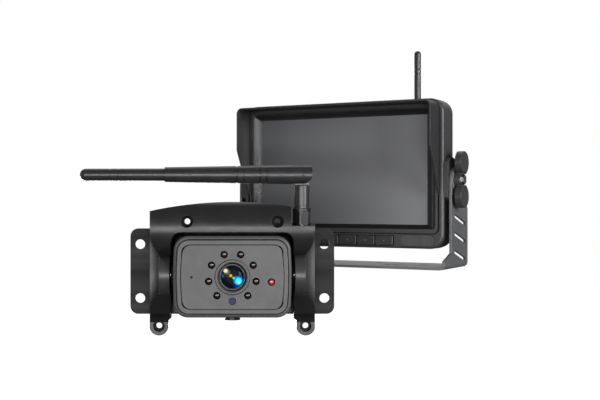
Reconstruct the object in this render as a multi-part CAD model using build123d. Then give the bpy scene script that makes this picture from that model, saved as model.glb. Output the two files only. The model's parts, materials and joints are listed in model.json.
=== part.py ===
from build123d import *
import os
from math import cos, pi, radians, sin

# Backup camera kit for a motorhome or caravan: a wireless rear-view camera and its cab monitor.
# Row frame, millimetres: origin at the centre of the camera's adapter plate, on the plate's back
# face. +X is to the right as seen from in front of the lens, +Y goes into the wall that carries
# the camera, +Z is up. The monitor unit stands behind and to the right, turned about the vertical.

# ---- driving dimensions of the camera unit ----
plate_width = 155.0
plate_height = 65.0
plate_thick = 2.0
plate_hole_span_x = 140.0
plate_hole_span_z = 41.0
plate_hole_radius = 3.7

lid_thick = 2.5
base_back_y = -plate_thick
base_front_y = -15.0
base_wall = 2.5
base_bottom_z = -30.0
side_back_half = 63.0
side_front_half = 58.1
roll_radius = 20.0
roll_y = -40.0
roll_z = 34.0
hood_front_y = roll_y - roll_radius
hood_wall = 2.6
crown_middle_z = 52.7
crown_side_z = 46.4
antenna_step_x = 41.7
antenna_shelf_z = 35.9
opening_half = 43.7
opening_top_z = 31.3
waist_half = 52.6
cheek_bottom_z = 15.0

hood_hole_x = 32.0
hood_hole_z = 38.9
hood_hole_radius = 2.1
screw_well_radius = 4.3
tab_hole_x = 55.4
tab_hole_z = -41.0
tab_hole_radius = 2.25
tab_front_y = -8.0
tab_radius = 7.2

pivot_y = -45.0
pivot_z = 0.5
barrel_radius = 13.9
barrel_inner_x = 44.6
pivot_pin_radius = 2.5

module_half_x = 41.9
module_half_z = 28.8
module_drum_radius = 28.0
module_front_y = -65.0
bezel_half_x = 39.3
bezel_half_z = 25.9
face_half_x = 36.0
face_half_z = 22.4
led_radius = 2.5
led_circle_radius = 16.84
lens_ring_radius = 12.5

antenna_x = 50.0
antenna_y = -45.0
elbow_z = 72.3
elbow_pin_radius = 1.0
elbow_x = 50.6

# ---- driving dimensions of the monitor unit ----
monitor_centre = (92.7, 95.1, 79.0)
monitor_turn_deg = -30.0
case_half = 92.0
case_bottom = -64.8
case_top = 58.0
case_front_y = -3.9
case_seam_y = 16.0
case_back_y = 25.0
case_corner = 12.0
case_wall = 2.5
screen_half_x = 77.0
screen_half_z = 45.25
window_half_x = 86.0
window_bottom = -48.8
window_top = 51.7
visor_half = 88.3
visor_top = 55.3
visor_front_y = -25.0
visor_thick = 1.4
pivot_axis_y = 8.0
pivot_axis_z = -8.3
boss_radius = 18.4
arm_inner = 96.0
arm_outer = 98.0
strap_bottom = -80.8
strap_front_y = -19.9
strap_back_y = 40.4
knob_half_height = 23.0
knob_half_width = 10.2
button_count = 6
button_pitch = 16.4
button_width = 15.6
button_top = -54.4
button_bottom = -62.5
whip_x = 57.4
whip_y = 31.0
whip_pivot_z = 34.0
whip_top = 102.0
whip_radius = 2.8


# ---- helpers ----
def block(x0, x1, y0, y1, z0, z1):
    """A box between two corners."""
    return Pos((x0 + x1) / 2, (y0 + y1) / 2, (z0 + z1) / 2) * Box(x1 - x0, y1 - y0, z1 - z0)


def rod_x(x0, x1, y, z, radius):
    """A round bar along X."""
    return Pos((x0 + x1) / 2, y, z) * Rot(0, 90, 0) * Cylinder(radius, x1 - x0)


def rod_y(y0, y1, x, z, radius):
    """A round bar along Y."""
    return Pos(x, (y0 + y1) / 2, z) * Rot(90, 0, 0) * Cylinder(radius, y1 - y0)


def rod_z(z0, z1, x, y, radius):
    """A round bar along Z."""
    return Pos(x, y, (z0 + z1) / 2) * Cylinder(radius, z1 - z0)


def front_slab(sketch, y0, y1):
    """A sketch drawn in X and Z, as thick as the span from y0 to y1."""
    return extrude(Plane.XZ.offset(-y1) * sketch, amount=y1 - y0)


def side_slab(sketch, x0, x1):
    """A sketch drawn in Y and Z, as wide as the span from x0 to x1."""
    return extrude(Plane.YZ.offset(x0) * sketch, amount=x1 - x0)


def rounded_slab(half_x, z0, z1, radius, y0, y1):
    """A plate with rounded corners, centred on X = 0."""
    sketch = Pos(0, (z0 + z1) / 2) * RectangleRounded(2 * half_x, z1 - z0, radius)
    return front_slab(sketch, y0, y1)


def ring_y(y0, y1, x, z, outer, inner):
    """A flat ring or tube with its axis along Y."""
    return rod_y(y0, y1, x, z, outer) - rod_y(y0 - 1, y1 + 1, x, z, inner)


def ring_slot(x, y, z, radius, depth, width):
    """A shallow groove round a vertical bar."""
    outer = rod_z(z - width / 2, z + width / 2, x, y, radius + 1)
    return outer - rod_z(z - width, z + width, x, y, radius - depth)


def groove_x(x, y, z, radius, depth, width):
    """A shallow groove round a bar along X."""
    outer = rod_x(x - width / 2, x + width / 2, y, z, radius + 1)
    return outer - rod_x(x - width, x + width, y, z, radius - depth)


def countersunk_screw(x, z, head_y, tip_y, head_radius, shank_radius):
    """A countersunk screw along Y with a cross recess, head at head_y, point towards tip_y."""
    way = 1 if tip_y > head_y else -1
    depth = head_radius - shank_radius
    cone = Cone(shank_radius, head_radius, depth)
    head = Pos(x, head_y + way * depth / 2, z) * Rot(90 * way, 0, 0) * cone
    low, high = sorted((head_y + way * depth, tip_y))
    screw = head + rod_y(low, high, x, z, shank_radius)
    slot_low, slot_high = sorted((head_y - way, head_y + way * 0.8))
    slots = block(x - 1.6, x + 1.6, slot_low, slot_high, z - 0.3, z + 0.3)
    slots += block(x - 0.3, x + 0.3, slot_low, slot_high, z - 1.6, z + 1.6)
    return screw - slots


def pan_screw(x, z, seat_y, tip_y, head_radius, shank_radius, head_height=1.8):
    """A pan-head screw along Y: the head stands away from tip_y."""
    way = 1 if tip_y > seat_y else -1
    low, high = sorted((seat_y - way * head_height, seat_y))
    screw = rod_y(low, high, x, z, head_radius)
    low, high = sorted((seat_y, tip_y))
    screw += rod_y(low, high, x, z, shank_radius)
    top = seat_y - way * head_height
    slot_low, slot_high = sorted((top - way, top + way * 0.8))
    slots = block(x - 1.5, x + 1.5, slot_low, slot_high, z - 0.3, z + 0.3)
    slots += block(x - 0.3, x + 0.3, slot_low, slot_high, z - 1.5, z + 1.5)
    return screw - slots


def mirrored(shape):
    """The same shape on the other side of X = 0."""
    return mirror(shape, about=Plane.YZ)


# ---- camera unit: housing ----
fixing_x = 22.0
fixing_z = 24.0
gland_y = -10.2
gland_half = 6.2
gland_drop = 5.9
hood_screw_x = 49.0
hood_screw_zs = (10.0, -20.0)
corner_signs = [(-1, -1), (1, -1), (-1, 1), (1, 1)]


def make_adapter_plate():
    """Flat steel plate with four corner holes and four countersunk fixing holes in its back."""
    plate = front_slab(RectangleRounded(plate_width, plate_height, 6.0), -plate_thick, 0)
    for sx, sz in corner_signs:
        hole_x = sx * plate_hole_span_x / 2
        hole_z = sz * plate_hole_span_z / 2
        plate -= rod_y(-plate_thick - 1, 1, hole_x, hole_z, plate_hole_radius)
        plate -= rod_y(-plate_thick - 1, 1, sx * fixing_x, sz * fixing_z, 1.75)
        seat = Pos(sx * fixing_x, -0.65, sz * fixing_z) * Rot(90, 0, 0) * Cone(3.0, 1.7, 1.3)
        plate -= seat
    return plate


def make_plate_screws():
    """Four countersunk screws from the back of the plate into the housing."""
    screws = []
    for sx, sz in corner_signs:
        screws.append(countersunk_screw(sx * fixing_x, sz * fixing_z, -0.1, -9.0, 2.9, 1.5))
    return screws


def crown_height(x):
    """Height of the housing's arched top at a distance x from the middle."""
    rise = crown_middle_z - crown_side_z
    arch_radius = (side_front_half ** 2 + rise ** 2) / (2 * rise)
    return crown_middle_z - arch_radius + (arch_radius ** 2 - x ** 2) ** 0.5


def crown_outline(inset):
    """Front outline of the housing above the cheeks: arched top with a step for the antenna."""
    half = side_back_half - inset
    step = antenna_step_x - inset
    arch_mid = (0, crown_middle_z - inset)
    left_top = (-half, crown_height(half) - inset)
    step_top = (step, crown_height(step) - inset)
    arch = ThreePointArc(left_top, arch_mid, step_top)
    shelf = antenna_shelf_z - inset
    low = base_bottom_z + inset
    rest = Polyline(step_top, (step, shelf), (half, shelf), (half, low), (-half, low), left_top)
    return make_face(arch + rest)


def plan_wedge(inset=0.0):
    """Plan shape of the housing: its sides draw in towards the front."""
    back = side_back_half - inset
    front = side_front_half - inset
    corners = [(-back, 0.5), (back, 0.5), (front, -62.0), (-front, -62.0), (-back, 0.5)]
    return Pos(0, 0, -60) * extrude(make_face(Polyline(*corners)), amount=120)


def screw_well(x, z, front_y, land_front_y, land_back_y, hole_radius, back_radius, back_y):
    """The space of a screw well: wide mouth, short narrow land, wide way out at the back."""
    space = rod_y(front_y - 6, land_front_y, x, z, screw_well_radius)
    space += rod_y(land_front_y - 1, land_back_y + 1, x, z, hole_radius)
    space += rod_y(land_back_y, back_y, x, z, back_radius)
    return space


hood_land_front_y = hood_front_y + 6.0
hood_land_back_y = hood_land_front_y + 4.0
well_back_radius = 4.6
well_wall = 1.6


def hood_wells():
    """The two screw wells in the hood, as one space."""
    space = None
    for sx in (-1, 1):
        one = screw_well(sx * hood_hole_x, hood_hole_z, hood_front_y, hood_land_front_y,
                         hood_land_back_y, hood_hole_radius, well_back_radius, 1.0)
        space = one if space is None else space + one
    return space


def make_housing_base():
    """Rear tub of the housing: it holds the transmitter board and is open at the back."""
    cavity_front_y = base_front_y + base_wall
    lid_front_y = base_back_y - lid_thick
    base = front_slab(crown_outline(0), base_front_y, lid_front_y) & plan_wedge()
    cavity = front_slab(crown_outline(base_wall), cavity_front_y, lid_front_y + 1)
    cavity = cavity & plan_wedge(base_wall)
    for sx in (-1, 1):
        cavity -= rod_y(cavity_front_y - 1, 0, sx * hood_hole_x, hood_hole_z, well_back_radius + well_wall)
        for z in hood_screw_zs:
            cavity -= rod_y(cavity_front_y - 1, 0, sx * hood_screw_x, z, 4.0)
    for sx, sz in corner_signs:
        cavity -= rod_y(cavity_front_y - 1, 0, sx * fixing_x, sz * fixing_z, 3.4)
    base -= cavity
    for sx, sz in corner_signs:
        base -= rod_y(-9.6, 0, sx * fixing_x, sz * fixing_z, 1.5)
    for sx in (-1, 1):
        for z in hood_screw_zs:
            base -= rod_y(base_front_y - 1, lid_front_y + 1, sx * hood_screw_x, z, 1.6)
            base -= rod_y(-9.0, lid_front_y + 1, sx * hood_screw_x, z, 2.9)
    base -= hood_wells()
    base -= rod_z(base_bottom_z - 2, base_bottom_z + base_wall + 3, 0, gland_y, 3.65)
    return base


def make_rear_lid():
    """Flat lid that closes the back of the tub."""
    outline = crown_outline(0)
    lid = front_slab(outline, base_back_y - lid_thick, base_back_y) & plan_wedge()
    for sx, sz in corner_signs:
        lid -= rod_y(-9.0, 1, sx * fixing_x, sz * fixing_z, 1.7)
    for sx in (-1, 1):
        lid -= rod_y(-9, 1, sx * hood_hole_x, hood_hole_z, well_back_radius)
    return lid


def make_lid_gasket():
    """Soft cord seal that lies inside the tub's rim."""
    outer = front_slab(crown_outline(base_wall), -6.3, base_back_y - lid_thick)
    outer = outer & plan_wedge(base_wall)
    inner = front_slab(crown_outline(base_wall + 1.2), -7, 0) & plan_wedge(base_wall + 1.2)
    gasket = outer - inner
    for sx in (-1, 1):
        gasket -= rod_y(-9, 0, sx * hood_hole_x, hood_hole_z, well_back_radius + well_wall)
        gasket -= rod_y(-9, 0, sx * fixing_x, -fixing_z, 3.4)
    return gasket


def cheek_outline():
    """Front outline of the hood: arched top, antenna step, cheeks that draw in to the waist."""
    half = side_back_half
    left_top = (-half, crown_height(half))
    step_top = (antenna_step_x, crown_height(antenna_step_x))
    arch = ThreePointArc(left_top, (0, crown_middle_z), step_top)
    shelf = Polyline(step_top, (antenna_step_x, antenna_shelf_z), (half, antenna_shelf_z),
                     (half, 30.0), (side_front_half, 28.0))
    right = RadiusArc((side_front_half, 28.0), (waist_half, cheek_bottom_z), 30.0)
    foot = Polyline((waist_half, cheek_bottom_z), (-waist_half, cheek_bottom_z))
    left = RadiusArc((-waist_half, cheek_bottom_z), (-side_front_half, 28.0), 30.0)
    side = Polyline((-side_front_half, 28.0), (-half, 30.0), left_top)
    return make_face(arch + shelf + right + foot + left + side)


def roll_profile(radius, back_y, low_z):
    """Side profile of the hood: a level top that rolls over a large round nose."""
    top = (roll_y, roll_z + radius)
    nose = (roll_y - radius, roll_z)
    under = (roll_y - radius * sin(radians(18)), roll_z - radius * cos(radians(18)))
    upper = ThreePointArc(top, (roll_y - radius * cos(pi / 4), roll_z + radius * sin(pi / 4)), nose)
    lower = ThreePointArc(nose, (roll_y - radius * cos(pi / 4), roll_z - radius * sin(pi / 4)), under)
    rest = Polyline(under, (roll_y, low_z), (back_y, low_z), (back_y, roll_z + radius), top)
    return make_face(upper + lower + rest)


def leg_shape():
    """Left leg of the hood: a sloping web from under the pivot to a flat screw tab at the back."""
    slope = Polyline((-50.0, -8.0), (-46.0, -14.5), (-24.0, -30.0))
    sweep = ThreePointArc((-24.0, -30.0), (-13.0, -33.2), (tab_front_y, -38.0))
    rest = Polyline((tab_front_y, -38.0), (tab_front_y, -52.0), (base_back_y, -52.0),
                    (base_back_y, base_bottom_z), (base_front_y, base_bottom_z), (base_front_y, -8.0),
                    (-50.0, -8.0))
    side = side_slab(make_face(slope + sweep + rest), -70, -40)
    tab_bottom = tab_hole_z - tab_radius
    inner_x = -tab_hole_x + tab_radius
    wide_x = inner_x + 2.3
    outline = Line((-waist_half, -8.0), (-waist_half, -11.5))
    outline += ThreePointArc((-waist_half, -11.5), (-57.6, -19.6), (-side_back_half, -26.0))
    outline += Line((-side_back_half, -26.0), (-side_back_half, tab_hole_z))
    round_end = ThreePointArc((-tab_hole_x - tab_radius, tab_hole_z), (-tab_hole_x, tab_bottom),
                              (inner_x, tab_hole_z))
    edge = Polyline((inner_x, tab_hole_z), (inner_x, -36.5), (wide_x, -34.5), (wide_x, -26.0),
                    (-opening_half - 0.6, -20.0), (-opening_half - 0.6, -8.0), (-waist_half, -8.0))
    left_edge = Polyline((-side_back_half, tab_hole_z), (-tab_hole_x - tab_radius, tab_hole_z))
    front = front_slab(make_face(outline + left_edge + round_end + edge), -62, 0)
    leg = side & front & plan_wedge()
    land = screw_well(-tab_hole_x, tab_hole_z, tab_front_y, tab_front_y + 2.6, base_back_y - 1,
                      tab_hole_radius, tab_hole_radius, 1.0)
    return leg - land


def make_housing_hood():
    """Front cover: rolled hood, side cheeks with round seats for the pivots, and two legs."""
    hood = front_slab(cheek_outline(), hood_front_y - 1, base_front_y)
    hood = hood & side_slab(roll_profile(roll_radius, base_front_y, cheek_bottom_z), -70, 70)
    hood = hood & plan_wedge()
    cavity = side_slab(roll_profile(roll_radius - hood_wall, base_front_y + 1, cheek_bottom_z), -39, 39)
    cavity = cavity & block(-39, 39, -60, 0, opening_top_z + hood_wall, crown_side_z)
    for sx in (-1, 1):
        cavity -= rod_y(-62, 0, sx * hood_hole_x, hood_hole_z, well_back_radius + well_wall)
    hood -= cavity
    hood -= hood_wells()
    for sx in (-1, 1):
        arm = block(44.3, waist_half, pivot_y, base_front_y, -9.0, cheek_bottom_z + 1)
        hood += arm if sx > 0 else mirrored(arm)
    leg = leg_shape()
    hood += leg
    hood += mirrored(leg)
    low = -60.0
    tall = opening_top_z - low
    opening = front_slab(Pos(0, low + tall / 2) * RectangleRounded(2 * opening_half, tall, 7.6),
                         -70, base_front_y)
    hood -= opening
    for sx in (-1, 1):
        seat = rod_x(barrel_inner_x - 0.5, waist_half + 6, pivot_y, pivot_z, barrel_radius)
        hood -= seat if sx > 0 else mirrored(seat)
        for z in hood_screw_zs:
            hood -= rod_y(-28.0, 0, sx * hood_screw_x, z, 1.5)
    hood -= rod_z(antenna_shelf_z - 8, antenna_shelf_z + 1, antenna_x, antenna_y, 3.2)
    return hood


def make_hood_screws():
    """Four screws that pull the hood onto the tub from inside."""
    screws = []
    for sx in (-1, 1):
        for z in hood_screw_zs:
            screws.append(pan_screw(sx * hood_screw_x, z, -9.0, -26.0, 2.7, 1.5))
    return screws


def make_pivot_barrel():
    """Right pivot barrel: a round boss with stepped ends and a bore for its pin."""
    barrel = rod_x(barrel_inner_x, waist_half, pivot_y, pivot_z, barrel_radius)
    barrel = chamfer(barrel.edges().filter_by(GeomType.CIRCLE).group_by(Axis.X)[-1], 0.8)
    barrel -= rod_x(40, 60, pivot_y, pivot_z, pivot_pin_radius)
    barrel -= rod_x(waist_half - 2.6, 60, pivot_y, pivot_z, 4.4)
    return barrel


def make_pivot_pins():
    """Two shouldered pins: heads in the barrels, shanks in the module's side bosses."""
    pin = rod_x(34.0, 51.0, pivot_y, pivot_z, pivot_pin_radius)
    pin += rod_x(waist_half - 2.6, waist_half - 0.4, pivot_y, pivot_z, 4.2)
    hexagon = Pos(0, pivot_y, pivot_z) * Rot(0, 90, 0) * extrude(RegularPolygon(1.6, 6), amount=60)
    pin -= hexagon & block(waist_half - 1.8, 60, -60, 0, -20, 20)
    return [pin, mirrored(pin)]


def make_transmitter_board():
    """Radio board in the tub: board, shield can, two connectors and four small parts."""
    board = block(-43, 38, -10.6, -9.0, -8.0, 18.0)
    parts = [board]
    parts.append(fillet(block(-30, -6, -9.0, -6.2, -5.0, 14.0).edges().filter_by(Axis.Y), 0.8))
    parts.append(block(4, 16, -9.0, -5.6, -6.0, -1.0))
    parts.append(block(24, 30, -9.0, -6.4, 6.0, 12.0))
    for i in range(4):
        parts.append(block(3 + 4.5 * i, 6 + 4.5 * i, -9.0, -7.6, 8.0, 12.0))
    return parts


def make_cable_gland():
    """Power inlet under the tub: hexagon flange, ribbed nose and a bore for the lead."""
    hexagon = extrude(RegularPolygon(gland_half, 6, major_radius=False), amount=3.4)
    gland = Pos(0, gland_y, base_bottom_z - 3.4) * hexagon
    gland += rod_z(base_bottom_z - gland_drop, base_bottom_z - 3.4, 0, gland_y, gland_half - 0.2)
    gland -= ring_slot(0, gland_y, base_bottom_z - 4.4, gland_half - 0.2, 0.5, 0.6)
    gland += rod_z(base_bottom_z, base_bottom_z + base_wall + 2.0, 0, gland_y, 3.6)
    gland -= rod_z(base_bottom_z - 8, base_bottom_z + base_wall + 3, 0, gland_y, 2.1)
    return gland


def make_antenna_jack():
    """Threaded radio connector that stands in the shelf."""
    jack = rod_z(antenna_shelf_z - 7.5, antenna_shelf_z + 8.5, antenna_x, antenna_y, 3.15)
    jack -= rod_z(antenna_shelf_z + 1.5, antenna_shelf_z + 9, antenna_x, antenna_y, 2.3)
    jack += rod_z(antenna_shelf_z - 7.5, antenna_shelf_z + 7.5, antenna_x, antenna_y, 0.5)
    return jack


def make_antenna_nut():
    """Collar nut of the antenna, with six flats and a groove near its top."""
    bottom = antenna_shelf_z + 0.2
    top = 48.0
    hexagon = extrude(RegularPolygon(6.85, 6), amount=top - bottom)
    nut = Pos(antenna_x, antenna_y, bottom) * Rot(0, 0, 15) * hexagon
    nut = nut & rod_z(bottom, top, antenna_x, antenna_y, 6.6)
    nut += rod_z(top - 2.0, top, antenna_x, antenna_y, 6.6)
    nut += rod_z(bottom, bottom + 0.9, antenna_x, antenna_y, 6.7)
    nut -= rod_z(bottom - 1, bottom + 8.8, antenna_x, antenna_y, 3.2)
    nut -= rod_z(bottom, top + 1, antenna_x, antenna_y, 2.4)
    return nut


# ---- camera unit: tilting module ----
def bulged_outline(half_x, half_z, corner, bulge):
    """A rounded rectangle whose two short sides bow outwards."""
    side_z = half_z - corner
    top_x = half_x - bulge - corner
    k = corner * (1 - cos(pi / 4))
    edge_x = half_x - bulge
    points = []
    for sx, sz in ((1, 1), (1, -1), (-1, -1), (-1, 1)):
        flat = (sx * top_x, sz * half_z)
        middle = (sx * (edge_x - k), sz * (half_z - k))
        upright = (sx * edge_x, sz * side_z)
        points.append((flat, middle, upright))
    tr, br, bl, tl = points
    line = ThreePointArc(tr[0], tr[1], tr[2])
    line += ThreePointArc(tr[2], (half_x, 0), br[2])
    line += ThreePointArc(br[2], br[1], br[0])
    line += Line(br[0], bl[0])
    line += ThreePointArc(bl[0], bl[1], bl[2])
    line += ThreePointArc(bl[2], (-half_x, 0), tl[2])
    line += ThreePointArc(tl[2], tl[1], tl[0])
    line += Line(tl[0], tr[0])
    return make_face(line)


shell_front_y = -61.8
led_back_y = -61.4
module_post_x = 31.0
module_post_z = 18.0
bezel_front_y = -64.4
seam_width = 0.6
shell_edge_radius = 2.0
face_gap = 0.45


def make_module_shell():
    """Body of the camera module: rounded front edge, round back, hollow, side pivot bosses."""
    block_part = front_slab(bulged_outline(module_half_x, module_half_z, 10.0, 0.6), shell_front_y, pivot_y)
    block_part = fillet(block_part.faces().sort_by(Axis.Y)[0].edges(), shell_edge_radius)
    drum = rod_x(-module_half_x + 0.6, module_half_x - 0.6, pivot_y, 0, module_drum_radius)
    drum = chamfer(drum.edges().filter_by(GeomType.CIRCLE), 3.0)
    drum = drum & block(-50, 50, pivot_y, 0, -40, 40)
    shell = block_part + drum
    hollow = front_slab(RectangleRounded(2 * bezel_half_x - 3, 2 * bezel_half_z - 1.4, 7.0), -70, pivot_y)
    hollow += rod_x(-bezel_half_x + 1.5, bezel_half_x - 1.5, pivot_y, 0, bezel_half_z)
    shell -= hollow
    rebate = front_slab(bulged_outline(bezel_half_x + seam_width, bezel_half_z + seam_width, 8.6, 0.7),
                        shell_front_y - 1, shell_front_y + 1.0)
    shell -= rebate - front_slab(bulged_outline(bezel_half_x, bezel_half_z, 8.0, 0.7), -70, -50)
    for sx in (-1, 1):
        boss = rod_x(33.5, module_half_x - 1, pivot_y, pivot_z, 5.6)
        shell += boss if sx > 0 else mirrored(boss)
        pad = rod_x(module_half_x - 1, module_half_x + 1.9, pivot_y, pivot_z, 7.0)
        shell += pad if sx > 0 else mirrored(pad)
        bore = rod_x(30, 50, pivot_y, pivot_z, pivot_pin_radius + 0.05)
        shell -= bore if sx > 0 else mirrored(bore)
    for sx, sz in corner_signs:
        post = rod_y(-58.0, -26.0, sx * module_post_x, sz * module_post_z, 2.8)
        shell += post
        shell -= rod_y(-59.0, -48.0, sx * module_post_x, sz * module_post_z, 1.25)
    return shell


def make_module_bezel():
    """Front frame of the module, glued over the mouth of the body."""
    bezel = front_slab(bulged_outline(bezel_half_x, bezel_half_z, 8.0, 0.7), bezel_front_y, -59.0)
    bezel = fillet(bezel.faces().sort_by(Axis.Y)[0].edges(), 0.5)
    inner = front_slab(RectangleRounded(2 * bezel_half_x - 7, 2 * bezel_half_z - 7, 5.0), -70, -50)
    seat = front_slab(bulged_outline(face_half_x + face_gap, face_half_z + face_gap, 6.3, 1.0), -70, -62.6)
    lip = rounded_slab(bezel_half_x - 1.5, -bezel_half_z + 0.7, bezel_half_z - 0.7, 7.0, -61.8, -50)
    upper = bezel & block(-50, 50, -70, shell_front_y, -40, 40)
    lower = bezel & lip
    return (upper + lower) - inner - seat


def led_places():
    """Centres of the eight infrared lights around the lens."""
    places = []
    for degrees in (20, 60, 100, 140, -20, -60, -100, -140):
        turn = radians(degrees)
        places.append((led_circle_radius * sin(turn), led_circle_radius * cos(turn)))
    return places


status_place = (27.4, -3.4)
sensor_place = (0.0, -led_circle_radius)
microphone_place = (-28.6, 0.0)


def make_face_plate():
    """Flat face of the module with holes for the lens, lights, sensor and microphone."""
    face = front_slab(bulged_outline(face_half_x, face_half_z, 6.0, 1.0), module_front_y, -62.6)
    face -= rod_y(-70, -60, 0, 0, lens_ring_radius)
    for x, z in led_places() + [status_place, sensor_place]:
        face -= rod_y(-70, -60, x, z, led_radius + 0.1)
    face -= rod_y(-70, module_front_y + 1.4, microphone_place[0], microphone_place[1], 0.88)
    face -= rod_y(-70, -60, microphone_place[0], microphone_place[1], 0.3)
    return face


throat_radius = 9.5
glass_radius = 8.1
glass_front_y = -64.2
glass_curve = 14.0


def make_lens_ring():
    """Ring round the lens with a sloping throat."""
    ring = rod_y(module_front_y - 0.4, -60.0, 0, 0, lens_ring_radius - 0.2)
    ring = fillet(ring.faces().sort_by(Axis.Y)[0].edges(), 0.5)
    throat = Pos(0, module_front_y + 1.1, 0) * Rot(90, 0, 0) * Cone(throat_radius, 10.6, 3.0)
    return ring - throat - rod_y(-70, -50, 0, 0, throat_radius)


def make_lens_barrel():
    """Threaded lens barrel that carries the glass."""
    barrel = ring_y(-62.6, -46.0, 0, 0, throat_radius - 0.1, glass_radius)
    barrel += ring_y(-50.0, -46.0, 0, 0, glass_radius + 0.2, 4.0)
    return barrel


def make_lens_glass():
    """Front glass: a thick convex element."""
    ball = Pos(0, glass_front_y + glass_curve, 0) * Sphere(glass_curve)
    return ball & rod_y(-70.0, -57.6, 0, 0, glass_radius)


def make_led(x, z, front_y, radius):
    """A round-nosed light with a flat back."""
    body = rod_y(front_y + radius, led_back_y, x, z, radius)
    nose = Pos(x, front_y + radius, z) * Sphere(radius)
    return body + (nose & rod_y(front_y - 1, front_y + radius, x, z, radius + 1))


def make_ir_leds():
    """Eight infrared lights, set just below the face."""
    return [make_led(x, z, -65.2, led_radius) for x, z in led_places()]


def make_sensor_window():
    """Flat round window over the light sensor."""
    window = rod_y(module_front_y + 0.3, led_back_y, *sensor_place, led_radius)
    return chamfer(window.faces().sort_by(Axis.Y)[0].edges(), 0.2)


def make_led_board():
    """Board behind the face that carries the lights, with a hole for the lens."""
    board = front_slab(RectangleRounded(66, 38, 4.0), led_back_y, -60.0)
    board -= rod_y(-70, -50, 0, 0, lens_ring_radius)
    for sx, sz in corner_signs:
        board -= rod_y(-70, -50, sx * module_post_x, sz * module_post_z, 3.0)
    return board


def make_sensor_board():
    """Image board: board, sensor block, microphone capsule and two chips."""
    board = front_slab(RectangleRounded(54, 36, 3.0), -45.0, -43.4)
    parts = [board]
    parts.append(block(-6, 6, -45.9, -45.0, -6, 6))
    parts.append(block(-20, -10, -43.4, -42.0, -8, 4))
    parts.append(block(8, 18, -43.4, -41.6, -4, 8))
    parts.append(rod_y(-60.0, -57.4, microphone_place[0], microphone_place[1], 2.0))
    return parts


def make_module_screws():
    """Four small screws that hold the frame and light board to the body's posts."""
    screws = []
    for sx, sz in corner_signs:
        shank = rod_y(-58.0, -50.0, sx * module_post_x, sz * module_post_z, 1.25)
        screws.append(shank + rod_y(-59.4, -58.0, sx * module_post_x, sz * module_post_z, 2.4))
    return screws


# ---- camera unit: antenna ----
elbow_tube_radius = 6.9
fork_gap = 5.2
tongue_thick = 4.8
shoulder_z = 64.7


def make_antenna_knuckle():
    """Lower joint of the antenna: round body, sloping shoulder and a flat tongue for the elbow."""
    body = rod_z(48.2, shoulder_z, antenna_x, antenna_y, 5.6)
    body = fillet(body.edges().filter_by(GeomType.CIRCLE).group_by(Axis.Z)[-1], 0.8)
    tongue = rod_y(antenna_y - tongue_thick / 2, antenna_y + tongue_thick / 2, elbow_x, elbow_z, 5.2)
    tongue += block(antenna_x - 4.6, antenna_x + 5.0, antenna_y - tongue_thick / 2,
                    antenna_y + tongue_thick / 2, shoulder_z - 1, elbow_z)
    body += tongue
    body -= rod_y(antenna_y - 10, antenna_y + 10, elbow_x, elbow_z, elbow_pin_radius + 0.1)
    slot = block(antenna_x - 6, antenna_x - 3.6, antenna_y - 1.4, antenna_y + 1.4, 57.0, shoulder_z + 1)
    body -= slot
    body -= ring_slot(antenna_x, antenna_y, 50.2, 5.6, 0.25, 0.5)
    return body


def taper_x(x0, x1, radius0, radius1):
    """A round bar along the antenna's axis, radius0 at x0 and radius1 at x1."""
    cone = Cone(radius0, radius1, x1 - x0)
    return Pos((x0 + x1) / 2, antenna_y, elbow_z) * Rot(0, 90, 0) * cone


elbow_end_x = elbow_x + 6.6
elbow_seam_x = 40.0
sleeve_step_x = -48.6
tip_x = -109.6
sleeve_thin_radius = 5.4
sleeve_thick_radius = 6.85
tip_radius = 4.35


def make_elbow_sleeve():
    """Forked end of the antenna: square above, rounded below so that it can turn upright."""
    sleeve = rod_x(elbow_seam_x, elbow_end_x, antenna_y, elbow_z, elbow_tube_radius)
    corner = block(elbow_x, elbow_end_x + 1, antenna_y - 10, antenna_y + 10, elbow_z - 10, elbow_z)
    sleeve -= corner - rod_y(antenna_y - 12, antenna_y + 12, elbow_x, elbow_z, 6.6)
    sleeve -= block(elbow_x - 7.4, elbow_end_x + 1, antenna_y - fork_gap / 2, antenna_y + fork_gap / 2,
                    elbow_z - 10, elbow_z + 10)
    sleeve -= rod_y(antenna_y - 10, antenna_y + 10, elbow_x, elbow_z, elbow_pin_radius)
    sleeve -= rod_x(elbow_seam_x - 1, elbow_x - 8.8, antenna_y, elbow_z, 3.0)
    return sleeve


def make_elbow_pin():
    """Hinge pin of the elbow."""
    return rod_y(antenna_y - 5.4, antenna_y + 5.4, elbow_x, elbow_z, elbow_pin_radius)


def make_antenna_sleeve():
    """Long tapering rubber sleeve with pairs of grip grooves."""
    sleeve = taper_x(sleeve_step_x, elbow_seam_x, sleeve_thin_radius, sleeve_thick_radius)
    for x in (24.5, 19.8, 8.3, 3.2):
        share = (x - sleeve_step_x) / (elbow_seam_x - sleeve_step_x)
        radius = sleeve_thin_radius + share * (sleeve_thick_radius - sleeve_thin_radius)
        sleeve -= groove_x(x, antenna_y, elbow_z, radius, 0.5, 0.9)
    sleeve -= rod_x(sleeve_step_x - 1, elbow_seam_x + 1, antenna_y, elbow_z, 2.6)
    return sleeve


def make_antenna_tip():
    """Slimmer outer sleeve with a round end."""
    tip = taper_x(tip_x + tip_radius, sleeve_step_x, tip_radius, tip_radius + 0.1)
    tip += Pos(tip_x + tip_radius, antenna_y, elbow_z) * Sphere(tip_radius)
    for x in (-82.0, -88.0):
        tip -= groove_x(x, antenna_y, elbow_z, tip_radius + 0.1, 0.4, 0.8)
    tip -= rod_x(tip_x + 5, sleeve_step_x + 1, antenna_y, elbow_z, 2.6)
    return tip


def make_antenna_radiator():
    """Inner rod of the antenna."""
    return rod_x(tip_x + 7, elbow_x - 9.4, antenna_y, elbow_z, 2.5)


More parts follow.
